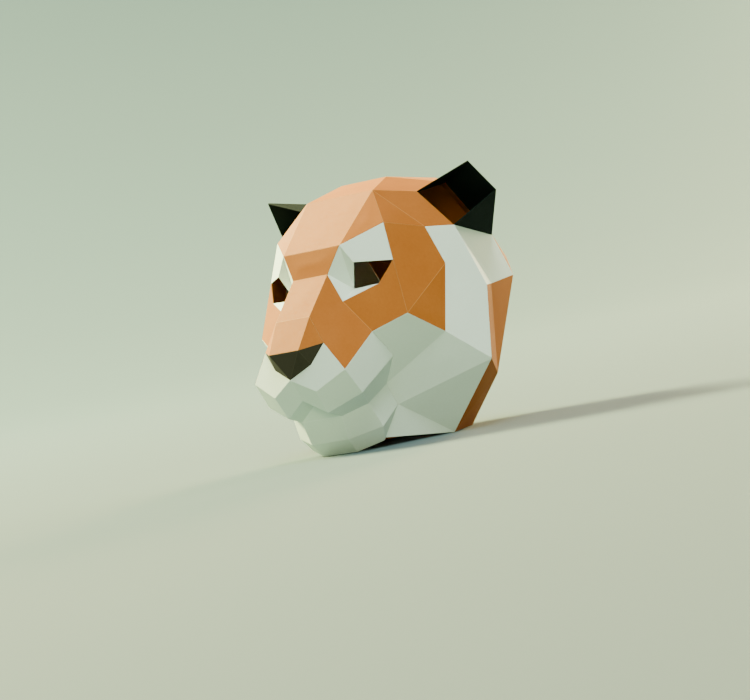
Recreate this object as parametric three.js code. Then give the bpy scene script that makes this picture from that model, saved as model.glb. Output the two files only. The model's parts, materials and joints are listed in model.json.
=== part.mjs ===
// A full-head animal mask folded from dyed card: flat facets scored, folded and glued into a
// hollow shell with a long snout, a ruff of white jaw and side panels, and two open ears.
// Millimetres, +Z up, face towards -Y, the wearer's left at +X, standing on its neck rim.

import * as THREE from 'three';

// Driving sizes of the head
const HEAD_HALF_WIDTH = 150; // midline to the rear corner of the ruff
const HEAD_BACK = 269; // bridge root to the back of the head
const HEAD_HEIGHT = 295; // neck rim to crown

// Driving sizes of the snout, measured from the bridge root between the eyes
const SNOUT_HALF_WIDTH = 67; // midline to the top corner of the muzzle
const SNOUT_REACH = 68; // forward to the ridge of the nose
const SNOUT_HEIGHT = 148; // down to the corner of the upper lip
const BRIDGE_HALF_WIDTH = 24.5; // half the flat bridge between the eyes
const BRIDGE_LEVEL = 197; // neck rim up to the bridge root

// Driving sizes of the chin, measured from below the bridge root
const CHIN_HALF_WIDTH = 55; // midline to the rear corner of the chin
const CHIN_REACH = 27; // forward to the lower lip
const CHIN_HEIGHT = 43; // neck rim to the lower lip

// Driving sizes of an ear, measured from the middle of its open foot
const EAR_REACH = 68; // out to the outer corner
const EAR_RISE = 48; // up to the tip
const EAR_FORWARD = 26; // forward to the tip

// The card and the seams between two pieces
const CARD = 1.2; // wall
const SEAM_GAP = 0.3; // clearance between two pieces at a seam

// Corners of the skull, brow, cheeks and back.
// out is a share of HEAD_HALF_WIDTH, back of HEAD_BACK and up of HEAD_HEIGHT.
const SKULL_CORNERS = {
  forehead_top: { out: 0.33, back: 0.27, up: 0.95 },
  crown_front: { out: 0.23, back: 0.44, up: 1 },
  crown_rear: { out: 0.25, back: 0.74, up: 0.96 },
  brow: { out: 0.28, back: 0.035, up: 0.77 },
  eye_top: { out: 0.54, back: 0.165, up: 0.825 },
  eye_outer: { out: 0.62, back: 0.13, up: 0.68 },
  eye_bottom: { out: 0.31, back: -0.025, up: 0.565 },
  hole_top: { out: 0.385, back: 0.035, up: 0.7 },
  hole_inner: { out: 0.3, back: 0.06, up: 0.6 },
  hole_low: { out: 0.54, back: 0.065, up: 0.605 },
  cheek_peak: { out: 0.74, back: 0.08, up: 0.475 },
  puff_top: { out: 0.515, back: -0.015, up: 0.435 },
  puff_outer: { out: 0.55, back: 0.065, up: 0.33 },
  groove_rear: { out: 0.43, back: 0.07, up: 0.23 },
  jaw_front: { out: 0.44, back: 0.1, up: 0.145 },
  jaw_rim: { out: 0.625, back: 0.3, up: 0 },
  ear_front: { out: 0.56, back: 0.4, up: 0.92 },
  ear_low: { out: 0.84, back: 0.41, up: 0.765 },
  ear_rear: { out: 0.64, back: 0.77, up: 0.7 },
  ear_inner: { out: 0.53, back: 0.61, up: 0.93 },
  band_top: { out: 0.71, back: 0.31, up: 0.78 },
  band_front: { out: 0.82, back: 0.32, up: 0.63 },
  band_low: { out: 0.86, back: 0.21, up: 0.38 },
  band_rear: { out: 0.635, back: 0.865, up: 0.535 },
  ruff_low: { out: 1.05, back: 0.34, up: 0.25 },
  ruff_rear: { out: 0.99, back: 0.44, up: 0.52 },
  tuck_top: { out: 0.78, back: 0.61, up: 0.52 },
  tuck_low: { out: 0.83, back: 0.51, up: 0.185 },
  poll: { out: 0.4, back: 1, up: 0.61 },
  back_middle: { out: 0.35, back: 0.91, up: 0.39 },
  nape: { out: 0.44, back: 0.72, up: 0.18 },
  nape_rim: { out: 0.33, back: 0.615, up: 0 },
};

// Corners of the snout below the bridge root.
// out is a share of SNOUT_HALF_WIDTH, front of SNOUT_REACH and drop of SNOUT_HEIGHT.
const SNOUT_CORNERS = {
  bridge_middle: { out: 0.38, front: 0.63, drop: 0.27 },
  nose_ridge: { out: 0.33, front: 1, drop: 0.5 },
  nose_outer: { out: 0.67, front: 0.71, drop: 0.475 },
  nose_low: { out: 0.41, front: 0.86, drop: 0.62 },
  nose_bottom: { out: 0, front: 0.95, drop: 0.71 },
  muzzle_corner: { out: 1, front: 0.73, drop: 0.7 },
  lip_front: { out: 0.47, front: 0.91, drop: 0.825 },
  puff_low: { out: 1.05, front: 0.46, drop: 0.885 },
  lip_corner: { out: 0.46, front: 0.7, drop: 1 },
  lip_middle: { out: 0, front: 0.78, drop: 0.89 },
  mouth_deep: { out: 0, front: 0.47, drop: 0.91 },
};

// Corners of the chin above the neck rim.
// out is a share of CHIN_HALF_WIDTH, front of CHIN_REACH and up of CHIN_HEIGHT.
const CHIN_CORNERS = {
  chin_top: { out: 0.53, front: 1, up: 1 },
  chin_front: { out: 0.53, front: 0.83, up: 0.33 },
  chin_rim: { out: 0.43, front: 0.2, up: 0 },
  chin_rear: { out: 1, front: -0.25, up: 0.12 },
  chin_step: { out: 1, front: -0.36, up: 0.23 },
  chin_side: { out: 1, front: -0.35, up: 0.58 },
  groove_front: { out: 0.98, front: 0.25, up: 1.15 },
};

// The two free corners of an ear, and the four corners of its foot in the skull.
// out is a share of EAR_REACH, front of EAR_FORWARD and up of EAR_RISE.
const EAR_CORNERS = {
  ear_tip: { out: 0.83, front: 1, up: 1 },
  ear_corner: { out: 1, front: 0, up: 0.22 },
};
const EAR_FOOT = ['ear_front', 'ear_low', 'ear_rear', 'ear_inner'];

// Dyed card, as it looks in shade
const ORANGE_CARD = { color: '#c07d3f', roughness: 0.72, metalness: 0 };
const WHITE_CARD = { color: '#dbe2d6', roughness: 0.7, metalness: 0 };
const BROWN_CARD = { color: '#3a3429', roughness: 0.75, metalness: 0 };
const BLACK_CARD = { color: '#10201c', roughness: 0.75, metalness: 0 };

// Every corner of one half of the mask, left at +X, on the outside of the card.
function cornersOfOneHalf() {
  const corners = new Map();
  for (const [name, row] of Object.entries(SKULL_CORNERS)) {
    corners.set(name, new THREE.Vector3(
      row.out * HEAD_HALF_WIDTH,
      row.back * HEAD_BACK,
      row.up * HEAD_HEIGHT,
    ));
  }
  corners.set('bridge_root', new THREE.Vector3(BRIDGE_HALF_WIDTH, 0, BRIDGE_LEVEL));
  for (const [name, row] of Object.entries(SNOUT_CORNERS)) {
    corners.set(name, new THREE.Vector3(
      row.out * SNOUT_HALF_WIDTH,
      -row.front * SNOUT_REACH,
      BRIDGE_LEVEL - row.drop * SNOUT_HEIGHT,
    ));
  }
  for (const [name, row] of Object.entries(CHIN_CORNERS)) {
    corners.set(name, new THREE.Vector3(
      row.out * CHIN_HALF_WIDTH,
      -row.front * CHIN_REACH,
      row.up * CHIN_HEIGHT,
    ));
  }
  const foot = new THREE.Vector3();
  for (const name of EAR_FOOT) {
    foot.addScaledVector(corners.get(name), 1 / EAR_FOOT.length);
  }
  for (const [name, row] of Object.entries(EAR_CORNERS)) {
    corners.set(name, new THREE.Vector3(
      foot.x + row.out * EAR_REACH,
      foot.y - row.front * EAR_FORWARD,
      foot.z + row.up * EAR_RISE,
    ));
  }
  return corners;
}

// Both halves, each corner named with its side.
function cornersOfMask() {
  const corners = new Map();
  for (const [name, at] of cornersOfOneHalf()) {
    corners.set(`${name}.left`, at);
    corners.set(`${name}.right`, new THREE.Vector3(-at.x, at.y, at.z));
  }
  return corners;
}

// A midline corner has one name on both sides.
const MIDLINE = new Set(Object.keys(SNOUT_CORNERS).filter((name) => SNOUT_CORNERS[name].out === 0));

function cornerKey(name, side) {
  return MIDLINE.has(name) ? `${name}.left` : `${name}.${side}`;
}

// Facets are lists of corner names, anticlockwise seen from outside on the wearer's left.
// A facet with more than three corners is made flat, and is cut along lines from its first.
function leftFacets(...facets) {
  return facets.map((names) => names.map((name) => cornerKey(name, 'left')));
}

// The first corner stays first on the right, so both sides are folded along the same lines.
function rightFacets(...facets) {
  return facets.map((names) => {
    const [first, ...rest] = names.map((name) => cornerKey(name, 'right'));
    return [first, ...rest.reverse()];
  });
}

function bothSides(...facets) {
  return [...leftFacets(...facets), ...rightFacets(...facets)];
}

// A facet that crosses the midline: its left corners in order, then the same ones on the right.
function across(...leftNames) {
  const left = leftNames.map((name) => cornerKey(name, 'left'));
  const right = leftNames.map((name) => cornerKey(name, 'right')).reverse();
  return [...left, ...right.filter((key) => !left.includes(key))];
}

// Pieces that cross the midline
const CENTRE_PIECES = [
  {
    name: 'forehead',
    card: ORANGE_CARD,
    facets: [
      across('brow', 'forehead_top'),
      ...bothSides(
        ['forehead_top', 'brow', 'eye_top'],
        ['forehead_top', 'eye_top', 'band_top'],
        ['band_top', 'ear_low', 'ear_front', 'forehead_top'],
      ),
    ],
  },
  {
    name: 'crown',
    card: ORANGE_CARD,
    facets: [
      across('forehead_top', 'crown_front'),
      across('crown_front', 'crown_rear'),
      ...bothSides(
        ['forehead_top', 'ear_front', 'ear_inner', 'crown_front'],
        ['crown_front', 'ear_inner', 'crown_rear'],
      ),
    ],
  },
  {
    name: 'nose_bridge',
    card: ORANGE_CARD,
    facets: [
      across('bridge_root', 'brow'),
      across('bridge_middle', 'bridge_root'),
      across('nose_ridge', 'bridge_middle'),
      ...bothSides(['bridge_middle', 'nose_ridge', 'nose_outer']),
    ],
  },
  {
    name: 'nose',
    card: BROWN_CARD,
    facets: [
      across('nose_bottom', 'nose_ridge'),
      ...bothSides(
        ['nose_ridge', 'nose_bottom', 'nose_low'],
        ['nose_ridge', 'nose_low', 'nose_outer'],
      ),
    ],
  },
  {
    name: 'muzzle',
    card: WHITE_CARD,
    facets: bothSides(
      ['lip_front', 'muzzle_corner', 'nose_outer', 'nose_low', 'nose_bottom'],
      ['nose_bottom', 'lip_middle', 'lip_corner', 'lip_front'],
      ['lip_corner', 'puff_low', 'muzzle_corner', 'lip_front'],
      ['puff_low', 'puff_outer', 'puff_top', 'muzzle_corner'],
    ),
  },
  {
    name: 'chin',
    card: WHITE_CARD,
    facets: [
      across('chin_front', 'chin_top'),
      across('chin_top', 'mouth_deep'),
      across('chin_rim', 'chin_front'),
      ...bothSides(
        ['lip_middle', 'mouth_deep', 'chin_top', 'lip_corner'],
        ['lip_corner', 'chin_top', 'groove_front', 'puff_low'],
        ['puff_outer', 'puff_low', 'groove_front', 'groove_rear'],
        ['chin_top', 'chin_front', 'chin_side', 'groove_front'],
        ['groove_front', 'chin_side', 'jaw_front', 'groove_rear'],
        ['chin_front', 'chin_rim', 'chin_rear', 'chin_side'],
        ['chin_side', 'chin_rear', 'chin_step'],
        ['chin_side', 'chin_step', 'jaw_front'],
      ),
    ],
  },
  {
    name: 'back',
    card: ORANGE_CARD,
    facets: [
      across('crown_rear', 'poll'),
      ...bothSides(
        ['crown_rear', 'ear_inner', 'poll'],
        ['ear_inner', 'ear_rear', 'poll'],
        ['ear_rear', 'band_rear', 'poll'],
      ),
    ],
  },
  {
    name: 'nape',
    card: ORANGE_CARD,
    facets: [
      across('poll', 'back_middle'),
      across('back_middle', 'nape'),
      across('nape', 'nape_rim'),
      ...bothSides(
        ['poll', 'band_rear', 'back_middle'],
        ['band_rear', 'tuck_top', 'tuck_low'],
        ['band_rear', 'tuck_low', 'back_middle'],
        ['back_middle', 'tuck_low', 'nape'],
        ['tuck_low', 'nape_rim', 'nape'],
        ['tuck_low', 'jaw_rim', 'nape_rim'],
      ),
    ],
  },
];

// Pieces made once for each side
const SIDE_PIECES = [
  {
    name: 'cheek',
    card: ORANGE_CARD,
    facets: [
      ['eye_bottom', 'bridge_root', 'bridge_middle', 'nose_outer', 'muzzle_corner', 'puff_top'],
      ['hole_low', 'eye_bottom', 'puff_top', 'cheek_peak', 'eye_outer'],
    ],
  },
  {
    name: 'temple',
    card: ORANGE_CARD,
    facets: [
      ['eye_outer', 'cheek_peak', 'band_front', 'band_top', 'eye_top'],
      ['cheek_peak', 'band_low', 'band_front'],
    ],
  },
  {
    name: 'eye_socket',
    card: WHITE_CARD,
    facets: [
      ['brow', 'hole_top', 'eye_outer', 'eye_top'],
      ['brow', 'hole_inner', 'hole_top'],
      ['brow', 'bridge_root', 'hole_inner'],
      ['hole_inner', 'bridge_root', 'eye_bottom'],
      ['hole_inner', 'eye_bottom', 'hole_low'],
    ],
  },
  {
    name: 'jaw',
    card: WHITE_CARD,
    facets: [
      ['puff_outer', 'groove_rear', 'band_low', 'cheek_peak', 'puff_top'],
      ['jaw_front', 'ruff_low', 'band_low', 'groove_rear'],
      ['jaw_front', 'jaw_rim', 'ruff_low'],
      ['jaw_front', 'chin_step', 'jaw_rim'],
    ],
  },
  {
    name: 'side_band',
    card: WHITE_CARD,
    facets: [
      ['band_front', 'ear_low', 'band_top'],
      ['band_front', 'band_low', 'ruff_low', 'ruff_rear', 'ear_low'],
      ['ear_low', 'ruff_rear', 'tuck_top'],
      ['tuck_top', 'band_rear', 'ear_rear', 'ear_low'],
    ],
  },
  {
    name: 'ruff_tuck',
    card: ORANGE_CARD,
    facets: [
      ['ruff_rear', 'ruff_low', 'tuck_low', 'tuck_top'],
      ['ruff_low', 'jaw_rim', 'tuck_low'],
    ],
  },
  {
    name: 'ear',
    card: BLACK_CARD,
    facets: [
      ['ear_low', 'ear_rear', 'ear_corner'],
      ['ear_corner', 'ear_rear', 'ear_inner', 'ear_tip'],
      ['ear_tip', 'ear_inner', 'ear_front'],
    ],
  },
];

function allPieces() {
  const pieces = [...CENTRE_PIECES];
  for (const { name, card, facets } of SIDE_PIECES) {
    pieces.push({ name: `${name}_left`, card, facets: leftFacets(...facets) });
    pieces.push({ name: `${name}_right`, card, facets: rightFacets(...facets) });
  }
  return pieces;
}

// The middle plane of a facet: its middle, and its normal from the areas seen along X, Y and Z.
function middlePlane(points) {
  const middle = new THREE.Vector3();
  const normal = new THREE.Vector3();
  for (const [i, point] of points.entries()) {
    middle.addScaledVector(point, 1 / points.length);
    normal.add(point.clone().cross(points[(i + 1) % points.length]));
  }
  return { middle, normal: normal.normalize() };
}

// Stiff card stays flat between folds, and the shares above are too round to make it so.
// Each round moves every corner towards the middle planes of its facets. The face gives way
// least, the corners round it slide outwards and forwards or back, and the rim stays level.
const FLATTENING_ROUNDS = 200;
const FACE_GIVE = 0.05; // part of its distance from a middle plane that any corner goes in a round
const SLIDE_GIVE = 0.5; // the same along the slide
const SLIDING_CORNERS = new Set([
  'ear_front', 'ear_low', 'ear_rear', 'ear_inner', 'ear_corner', 'crown_rear',
  'band_top', 'band_front', 'band_low', 'band_rear', 'ruff_low', 'ruff_rear',
  'tuck_top', 'tuck_low', 'puff_top', 'puff_outer', 'groove_front', 'groove_rear',
  'jaw_front', 'jaw_rim', 'chin_side', 'chin_step',
]);

function flattenFacets(pieces, corners) {
  const bendable = pieces.flatMap(({ facets }) => facets).filter((facet) => facet.length > 3);
  for (let round = 0; round < FLATTENING_ROUNDS; round += 1) {
    const pulls = new Map();
    for (const facet of bendable) {
      const { middle, normal } = middlePlane(facet.map((key) => corners.get(key)));
      for (const key of facet) {
        const height = corners.get(key).clone().sub(middle).dot(normal);
        if (!pulls.has(key)) pulls.set(key, new THREE.Vector3());
        pulls.get(key).addScaledVector(normal, -height);
      }
    }
    for (const [key, pull] of pulls) {
      const corner = corners.get(key);
      const onFloor = corner.z === 0;
      const [name, side] = key.split('.');
      corner.addScaledVector(pull, FACE_GIVE);
      if (SLIDING_CORNERS.has(name)) {
        const slide = new THREE.Vector3(side === 'left' ? 1 : -1, -1, 0).normalize();
        corner.addScaledVector(slide, SLIDE_GIVE * pull.dot(slide));
      }
      if (onFloor) corner.z = 0;
    }
  }
}

// The depth is centred on the origin.
function centreDepth(corners) {
  const box = new THREE.Box3().setFromPoints([...corners.values()]);
  const middle = (box.min.y + box.max.y) / 2;
  for (const corner of corners.values()) corner.y -= middle;
}

// The triangles of a piece, each with its outward normal and its angle at each corner.
function trianglesOf(facets, corners) {
  const triangles = [];
  for (const facet of facets) {
    for (let i = 1; i + 1 < facet.length; i += 1) {
      const keys = [facet[0], facet[i], facet[i + 1]];
      const [a, b, c] = keys.map((key) => corners.get(key));
      const normal = b.clone().sub(a).cross(c.clone().sub(a)).normalize();
      const angles = [[a, b, c], [b, c, a], [c, a, b]].map(([at, next, last]) => (
        next.clone().sub(at).angleTo(last.clone().sub(at))
      ));
      triangles.push({ keys, normal, angles });
    }
  }
  return triangles;
}

function edgeName(from, to) {
  return from < to ? `${from} ${to}` : `${to} ${from}`;
}

function edgesOf({ keys }) {
  return keys.map((from, i) => ({ from, to: keys[(i + 1) % keys.length] }));
}

// The shift that meets each condition direction . shift = amount as nearly as it can.
const STIFFNESS = 1e-4;
const HELD_FAST = 1e3;

function fittedShift(conditions) {
  const sum = new THREE.Matrix3().set(STIFFNESS, 0, 0, 0, STIFFNESS, 0, 0, 0, STIFFNESS);
  const right = new THREE.Vector3();
  for (const { direction: d, amount, weight = 1 } of conditions) {
    const e = sum.elements;
    const parts = [d.x, d.y, d.z];
    for (let column = 0; column < 3; column += 1) {
      for (let row = 0; row < 3; row += 1) {
        e[column * 3 + row] += weight * parts[column] * parts[row];
      }
    }
    right.addScaledVector(d, weight * amount);
  }
  return right.applyMatrix3(sum.invert());
}

// A corner on the floor keeps its height, so the neck rim is cut level there.
function floorCondition(at) {
  const direction = new THREE.Vector3(0, 0, 1);
  return at.z === 0 ? [{ direction, amount: 0, weight: HELD_FAST }] : [];
}

// How far the inside of the card lies from each corner, the same for all pieces that meet there.
function wallShifts(pieces, corners) {
  const conditions = new Map();
  for (const { triangles } of pieces) {
    for (const { keys, normal, angles } of triangles) {
      for (const [i, key] of keys.entries()) {
        if (!conditions.has(key)) conditions.set(key, floorCondition(corners.get(key)));
        conditions.get(key).push({ direction: normal, amount: -CARD, weight: angles[i] });
      }
    }
  }
  return new Map([...conditions].map(([key, list]) => [key, fittedShift(list)]));
}

// How far each corner of a piece is drawn in, so that seams keep their clearance.
function seamShifts(piece, edgeUses, corners) {
  const ownUses = new Map();
  for (const triangle of piece.triangles) {
    for (const { from, to } of edgesOf(triangle)) {
      const name = edgeName(from, to);
      ownUses.set(name, (ownUses.get(name) ?? 0) + 1);
    }
  }
  const conditions = new Map();
  for (const { keys, normal, angles } of piece.triangles) {
    for (const [i, key] of keys.entries()) {
      if (!conditions.has(key)) conditions.set(key, floorCondition(corners.get(key)));
      conditions.get(key).push({ direction: normal, amount: 0, weight: angles[i] });
    }
  }
  const drawn = new Set();
  for (const triangle of piece.triangles) {
    for (const { from, to } of edgesOf(triangle)) {
      const name = edgeName(from, to);
      if (ownUses.get(name) > 1) continue;
      const isSeam = edgeUses.get(name) > 1;
      const along = corners.get(to).clone().sub(corners.get(from)).normalize();
      const inwards = triangle.normal.clone().cross(along);
      for (const key of [from, to]) {
        conditions.get(key).push({ direction: inwards, amount: isSeam ? SEAM_GAP / 2 : 0 });
        drawn.add(key);
      }
    }
  }
  const shifts = new Map();
  for (const [key, list] of conditions) {
    shifts.set(key, drawn.has(key) ? fittedShift(list) : new THREE.Vector3());
  }
  return { shifts, ownUses };
}

// One piece as a closed wall of card: outside, inside and the cut edges between them.
function cardWall(piece, edgeUses, corners, walls) {
  const { shifts, ownUses } = seamShifts(piece, edgeUses, corners);
  const positions = [];
  const indices = [];
  const outer = new Map();
  const inner = new Map();
  for (const [key, shift] of shifts) {
    const outside = corners.get(key).clone().add(shift);
    const inside = outside.clone().add(walls.get(key));
    outer.set(key, positions.length / 3);
    positions.push(...outside.toArray());
    inner.set(key, positions.length / 3);
    positions.push(...inside.toArray());
  }
  for (const triangle of piece.triangles) {
    const [a, b, c] = triangle.keys;
    indices.push(outer.get(a), outer.get(b), outer.get(c));
    indices.push(inner.get(a), inner.get(c), inner.get(b));
    for (const { from, to } of edgesOf(triangle)) {
      if (ownUses.get(edgeName(from, to)) > 1) continue;
      const [ao, bo, ai, bi] = [outer.get(from), outer.get(to), inner.get(from), inner.get(to)];
      // The cut edge is folded along the same diagonal on both sides of a seam.
      if (from < to) indices.push(bo, ao, bi, ao, ai, bi);
      else indices.push(bo, ao, ai, bo, ai, bi);
    }
  }
  const geometry = new THREE.BufferGeometry();
  geometry.setAttribute('position', new THREE.Float32BufferAttribute(positions, 3));
  geometry.setIndex(indices);
  geometry.computeVertexNormals();
  return geometry;
}

function buildMask() {
  const corners = cornersOfMask();
  const pieces = allPieces();
  flattenFacets(pieces, corners);
  centreDepth(corners);
  const edgeUses = new Map();
  for (const piece of pieces) {
    piece.triangles = trianglesOf(piece.facets, corners);
    for (const triangle of piece.triangles) {
      for (const { from, to } of edgesOf(triangle)) {
        const name = edgeName(from, to);
        edgeUses.set(name, (edgeUses.get(name) ?? 0) + 1);
      }
    }
  }
  const walls = wallShifts(pieces, corners);
  const mask = new THREE.Group();
  for (const piece of pieces) {
    const geometry = cardWall(piece, edgeUses, corners, walls);
    const mesh = new THREE.Mesh(geometry, new THREE.MeshStandardMaterial(piece.card));
    mesh.name = piece.name;
    mask.add(mesh);
  }
  return mask;
}

const mask = buildMask();

export default mask;
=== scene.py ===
# A full-head animal mask of folded card, standing on its neck rim on a pale studio sweep.
# Metres, +Z up, face towards -Y.

import json
import math

import bmesh
import bpy
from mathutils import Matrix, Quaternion, Vector, kdtree, noise


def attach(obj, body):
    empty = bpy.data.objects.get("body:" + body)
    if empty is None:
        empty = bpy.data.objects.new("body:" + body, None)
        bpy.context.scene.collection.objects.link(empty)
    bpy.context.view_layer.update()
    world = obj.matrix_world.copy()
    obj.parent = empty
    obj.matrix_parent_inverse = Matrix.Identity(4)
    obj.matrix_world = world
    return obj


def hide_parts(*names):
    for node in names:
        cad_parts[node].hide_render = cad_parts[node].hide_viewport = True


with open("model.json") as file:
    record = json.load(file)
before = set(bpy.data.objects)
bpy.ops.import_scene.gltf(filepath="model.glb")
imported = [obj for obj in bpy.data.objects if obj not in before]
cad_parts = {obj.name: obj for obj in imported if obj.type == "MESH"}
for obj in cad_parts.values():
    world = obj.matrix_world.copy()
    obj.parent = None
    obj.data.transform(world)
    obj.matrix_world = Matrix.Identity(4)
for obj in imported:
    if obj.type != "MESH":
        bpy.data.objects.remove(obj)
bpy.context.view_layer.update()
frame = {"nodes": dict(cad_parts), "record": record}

MM = 0.001


# Colours and nodes


def linear(code):
    """An sRGB hex value as the linear colour that a shader socket takes."""
    channels = [int(code[i : i + 2], 16) / 255 for i in (1, 3, 5)]
    return [c / 12.92 if c <= 0.04045 else ((c + 0.055) / 1.055) ** 2.4 for c in channels] + [1.0]


def add(tree, kind, settings=None, links=None, **fields):
    """One node with its fields, its socket values and its links from (node, output) pairs."""
    node = tree.nodes.new(kind)
    for name, value in fields.items():
        setattr(node, name, value)
    for name, value in (settings or {}).items():
        node.inputs[name].default_value = value
    for name, (source, output) in (links or {}).items():
        tree.links.new(source.outputs[output], node.inputs[name])
    return node


# Through-dyed card: a calendered paper board with no coating. The dye goes right through, so cut
# edges and folds have the same hue, only paler where the scored fibres stand up. It gives the
# eye flat matte planes, a faint mottle of fibre clumps and thin pale lines along the folds.

CLUMP_SIZE = 3 * MM  # clumps of fibre
CLOUD_SIZE = 40 * MM  # the sheet's own cloudiness
GRAIN_SIZE = 0.6 * MM  # real fibres are 0.02 mm thick, and would not show at all
GRAIN_DEPTH = 0.05 * MM
GRAIN_STRENGTH = 0.25
GLOSS_SPREAD = 0.06  # how far the roughness varies from clump to clump
CARD_IOR = 1.48


def paper_noise(tree, place, size, detail, roughness):
    settings = {"Scale": 1 / size, "Detail": detail, "Roughness": roughness}
    return add(tree, "ShaderNodeTexNoise", settings, {"Vector": (place, "Object")})


def dyed_card(name, dye, pale, fold, roughness, shine):
    material = bpy.data.materials.new(name)
    material.use_nodes = True
    tree = material.node_tree
    tree.nodes.clear()
    place = add(tree, "ShaderNodeTexCoord")

    # The dye is mixed with its paler shade by clumps and clouds, and with the fold's along folds.
    clumps = paper_noise(tree, place, CLUMP_SIZE, detail=4.0, roughness=0.6)
    clouds = paper_noise(tree, place, CLOUD_SIZE, detail=2.0, roughness=0.5)
    mottle = add(
        tree,
        "ShaderNodeMath",
        links={0: (clumps, "Fac"), 1: (clouds, "Fac")},
        operation="ADD",
    )
    share = add(
        tree,
        "ShaderNodeMapRange",
        {"From Min": 0.7, "From Max": 1.3, "To Min": 0.0, "To Max": 1.0},
        {"Value": (mottle, "Value")},
    )
    sheet = add(
        tree,
        "ShaderNodeMix",
        {"A": linear(dye), "B": linear(pale)},
        {"Factor": (share, "Result")},
        data_type="RGBA",
    )
    worn = add(tree, "ShaderNodeAttribute", attribute_name="fold_wear")
    colour = add(
        tree,
        "ShaderNodeMix",
        {"B": linear(fold)},
        {"A": (sheet, "Result"), "Factor": (worn, "Fac")},
        data_type="RGBA",
    )

    # A fine grain stands up from the sheet, and clumps are a little duller or shinier.
    grain = paper_noise(tree, place, GRAIN_SIZE, detail=3.0, roughness=0.7)
    relief = add(
        tree,
        "ShaderNodeBump",
        {"Strength": GRAIN_STRENGTH, "Distance": GRAIN_DEPTH},
        {"Height": (grain, "Fac")},
    )
    gloss = add(
        tree,
        "ShaderNodeMapRange",
        {
            "From Min": 0.3,
            "From Max": 0.7,
            "To Min": roughness - GLOSS_SPREAD,
            "To Max": roughness + GLOSS_SPREAD,
        },
        {"Value": (clumps, "Fac")},
    )
    card = add(
        tree,
        "ShaderNodeBsdfPrincipled",
        {"IOR": CARD_IOR, "Specular IOR Level": shine},
        {
            "Base Color": (colour, "Result"),
            "Roughness": (gloss, "Result"),
            "Normal": (relief, "Normal"),
        },
    )
    add(tree, "ShaderNodeOutputMaterial", links={"Surface": (card, "BSDF")})
    return material


CARD_LOOKS = {
    "orange": dict(dye="#ac5f1f", pale="#b46728", fold="#c27d41", roughness=0.7, shine=0.12),
    "white": dict(dye="#e4ede2", pale="#e9f1e7", fold="#f0f6ee", roughness=0.7, shine=0.12),
    "brown": dict(dye="#393228", pale="#3f382d", fold="#463f34", roughness=0.62, shine=0.15),
    "black": dict(dye="#08120f", pale="#0a1612", fold="#15211d", roughness=0.75, shine=0.07),
}
CARDS = {f"{hue}_card": dyed_card(f"dyed_card_{hue}", **look) for hue, look in CARD_LOOKS.items()}

SLOT_OF_NODE = {row["node"]: row["material_slot"] for row in frame["record"]["subparts"]}


# Folded card

WALL = 1.2 * MM
CUT_EDGE = 2.5 * WALL  # a face narrower than this is a cut edge of the card
ON_FLOOR = 0.5 * MM  # corners below this stand on the floor and stay there
SAME_POINT = 0.01 * MM
FOLD_WIDTH = 0.35 * MM  # half the width of a scored fold, and of a rubbed cut edge
FOLD_SEGMENTS = 2
SEAM_CLOSED = 0.1 * MM  # how far each piece is let out at a seam, so that the joint looks glued
FACET_STEP = 8 * MM  # longest side of a face once a facet is subdivided
CUT_ROUNDS = 5  # enough for the longest fold, of about 200 mm
SAME_PLANE = math.radians(1.5)  # a bend below this is dissolved, so that a facet is one face
FLAT_LIMIT = math.radians(4)  # a bend below this is the card's own bow, not a fold
BOW = 0.5 * MM  # how far a facet stands out at its middle
WAVE = 0.7 * MM  # multiplies the noise of the soft waves in a facet
WAVE_LENGTH = 50 * MM
BOW_REACH = 18 * MM  # distance from a fold at which most of the bow and waves is there
HEAD_MIDDLE = Vector((0, 0, 0.14))


def let_out_seams(bm):
    """Moves every cut edge outwards in its own plane."""
    outwards = {}
    for face in bm.faces:
        longest = max(edge.calc_length() for edge in face.edges)
        if 2 * face.calc_area() / longest < CUT_EDGE:
            for vertex in face.verts:
                outwards[vertex] = outwards.get(vertex, Vector()) + face.normal * face.calc_area()
    for vertex, direction in outwards.items():
        if vertex.co.z > ON_FLOOR:
            vertex.co += direction.normalized() * SEAM_CLOSED


def subdivide_facets(bm):
    """Cuts long sides in half, round by round, until hardly any is longer than a step."""
    bmesh.ops.triangulate(bm, faces=bm.faces[:])
    for _ in range(CUT_ROUNDS):
        long_edges = [edge for edge in bm.edges if edge.calc_length() > FACET_STEP]
        bmesh.ops.subdivide_edges(bm, edges=long_edges, cuts=1)
        bmesh.ops.triangulate(bm, faces=[face for face in bm.faces if len(face.verts) > 3])


def bow_facets(bm, wear):
    """Gives each facet the slight outward bow and the soft waves of a glued sheet."""
    held = {v for face in bm.faces for v in face.verts if face.loops[0][wear] > 0}
    tree = kdtree.KDTree(len(held))
    for i, vertex in enumerate(held):
        tree.insert(vertex.co, i)
    tree.balance()
    moves = []
    for vertex in bm.verts:
        if vertex in held:
            continue
        distance = tree.find(vertex.co)[2]
        fade = 1 - math.exp(-((distance / BOW_REACH) ** 2))
        pull = noise.noise_vector(vertex.co / WAVE_LENGTH) * WAVE
        pull += (vertex.co - HEAD_MIDDLE).normalized() * BOW
        moves.append((vertex, vertex.normal * vertex.normal.dot(pull) * fade))
    for vertex, move in moves:
        vertex.co += move


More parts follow.
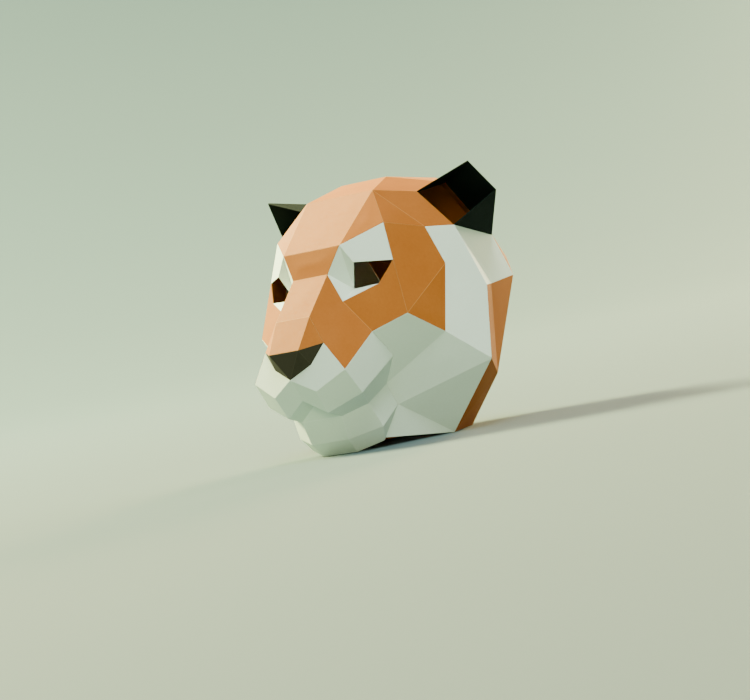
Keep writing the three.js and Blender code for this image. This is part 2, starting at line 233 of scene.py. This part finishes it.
def folded_card(node):
    """Lays a finished piece of card over one CAD node."""
    mesh = bpy.data.meshes.new(node + "_card")
    bm = bmesh.new()
    bm.from_mesh(frame["nodes"][node].data)
    bmesh.ops.remove_doubles(bm, verts=bm.verts[:], dist=SAME_POINT)
    bm.normal_update()
    let_out_seams(bm)
    bm.normal_update()
    bmesh.ops.dissolve_limit(
        bm,
        angle_limit=SAME_PLANE,
        verts=bm.verts[:],
        edges=bm.edges[:],
    )
    folds = [edge for edge in bm.edges if edge.is_manifold and edge.calc_face_angle() > FLAT_LIMIT]
    bent = bmesh.ops.bevel(
        bm,
        geom=folds,
        offset=FOLD_WIDTH,
        offset_type="OFFSET",
        affect="EDGES",
        segments=FOLD_SEGMENTS,
        profile=0.5,
        clamp_overlap=True,
        material=-1,
    )
    wear = bm.loops.layers.float.new("fold_wear")
    for face in bent["faces"]:
        for loop in face.loops:
            loop[wear] = 1.0
    subdivide_facets(bm)
    bm.normal_update()
    bow_facets(bm, wear)
    for face in bm.faces:
        face.smooth = True
    bm.to_mesh(mesh)
    bm.free()
    piece = bpy.data.objects.new(node + "_card", mesh)
    bpy.context.scene.collection.objects.link(piece)
    slot = SLOT_OF_NODE[node]
    mesh.materials.append(CARDS[slot])
    flatten = piece.modifiers.new("flat_facets", "WEIGHTED_NORMAL")
    flatten.mode = "FACE_AREA"
    flatten.weight = 100
    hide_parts(node)
    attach(piece, "root")


for node in sorted(SLOT_OF_NODE):
    folded_card(node)


# Studio sweep, round so that it looks the same from every side

SWEEP_RADIUS = 9.0
SWEEP_COVE = 5.0
SWEEP_HEIGHT = 6.5
FLOOR_RADIUS = SWEEP_RADIUS - SWEEP_COVE
HUB_RADIUS = 0.02  # the small hole in the middle of the floor, filled after the spin
COVE_STEPS = 12
SPIN_STEPS = 64


def sweep_profile():
    """The floor, the cove and the wall, from the hub outwards."""
    profile = [Vector((HUB_RADIUS, 0, 0)), Vector((FLOOR_RADIUS, 0, 0))]
    for step in range(1, COVE_STEPS + 1):
        turn = math.radians(90) * step / COVE_STEPS
        reach = FLOOR_RADIUS + SWEEP_COVE * math.sin(turn)
        profile.append(Vector((reach, 0, SWEEP_COVE * (1 - math.cos(turn)))))
    profile.append(Vector((SWEEP_RADIUS, 0, SWEEP_HEIGHT)))
    return profile


def backdrop_paper():
    material = bpy.data.materials.new("backdrop_paper")
    material.use_nodes = True
    surface = material.node_tree.nodes["Principled BSDF"]
    surface.inputs["Base Color"].default_value = linear("#45575e")
    surface.inputs["Roughness"].default_value = 0.9
    return material


sweep_mesh = bpy.data.meshes.new("studio_sweep")
bm = bmesh.new()
points = [bm.verts.new(at) for at in sweep_profile()]
lines = [bm.edges.new(pair) for pair in zip(points, points[1:])]
bmesh.ops.spin(
    bm,
    geom=points + lines,
    cent=(0, 0, 0),
    axis=(0, 0, 1),
    angle=math.radians(360),
    steps=SPIN_STEPS,
    use_merge=True,
)
hub = [edge for edge in bm.edges if edge.is_boundary and edge.calc_length() < HUB_RADIUS / 2]
bmesh.ops.contextual_create(bm, geom=hub)
bmesh.ops.recalc_face_normals(bm, faces=bm.faces[:])
for face in bm.faces:
    face.smooth = True
bm.to_mesh(sweep_mesh)
bm.free()
sweep = bpy.data.objects.new("studio_sweep", sweep_mesh)
bpy.context.scene.collection.objects.link(sweep)
sweep_mesh.materials.append(backdrop_paper())


# Light: a warm key from the mask's far side, a rim light that catches the facets which face
# backwards, soft fills from above, behind and low in front, and one lamp for the backdrop.

MASK_MIDDLE = (0, 0, 0.15)
BACKDROP_SPOT = (-6.0, 6.8, 1.5)
LIGHTS = {
    "key": dict(place=(-6.4, 0.6, 4.8), size=2.4, power=5500, colour="#f3f6ae"),
    "fill": dict(place=(2.6, -1.6, 9.0), size=5.0, power=1250, colour="#e4f2e8"),
    "rear_lift": dict(place=(1.6, 6.9, 2.6), size=2.4, power=420, colour="#fff0c8"),
    "rim": dict(place=(-2.3, 6.9, 1.5), size=2.2, power=1300, colour="#ffe69e"),
    "low_fill": dict(place=(4.6, -5.6, 1.3), size=3.0, power=430, colour="#e6efbe"),
    "backdrop": dict(
        place=(-1.5, 1.7, 5.5),
        size=4.0,
        power=220,
        colour="#dcf0e8",
        target=BACKDROP_SPOT,
    ),
}
ROOM_COLOUR = "#dbeadf"
ROOM_STRENGTH = 0.4


def area_light(name, place, size, power, colour, target=MASK_MIDDLE):
    data = bpy.data.lights.new(name, "AREA")
    data.shape = "DISK"
    data.size = size
    data.energy = power
    data.color = linear(colour)[:3]
    light = bpy.data.objects.new(name, data)
    light.location = place
    light.rotation_euler = (Vector(target) - Vector(place)).to_track_quat("-Z", "Y").to_euler()
    bpy.context.scene.collection.objects.link(light)


for name, row in LIGHTS.items():
    area_light(name, **row)

room = bpy.data.worlds.new("studio")
room.use_nodes = True
room_light = room.node_tree.nodes["Background"]
room_light.inputs["Color"].default_value = linear(ROOM_COLOUR)
room_light.inputs["Strength"].default_value = ROOM_STRENGTH
bpy.context.scene.world = room


# Camera, level with the bridge of the nose and rolled as the head is tilted

CAMERA_PLACE = Vector((2.975, -3.391, 0.193))
CAMERA_AIM = Vector((-0.6614, 0.7498, -0.0196))
CAMERA_ROLL = math.radians(-11.06)
LENS = 192  # millimetres, on a sensor of the width below
SENSOR_WIDTH = 36

camera_data = bpy.data.cameras.new("camera")
camera_data.lens = LENS
camera_data.sensor_width = SENSOR_WIDTH
camera = bpy.data.objects.new("camera", camera_data)
camera.location = CAMERA_PLACE
aimed = CAMERA_AIM.to_track_quat("-Z", "Y") @ Quaternion((0, 0, 1), CAMERA_ROLL)
camera.rotation_euler = aimed.to_euler()
bpy.context.scene.collection.objects.link(camera)
bpy.context.scene.camera = camera
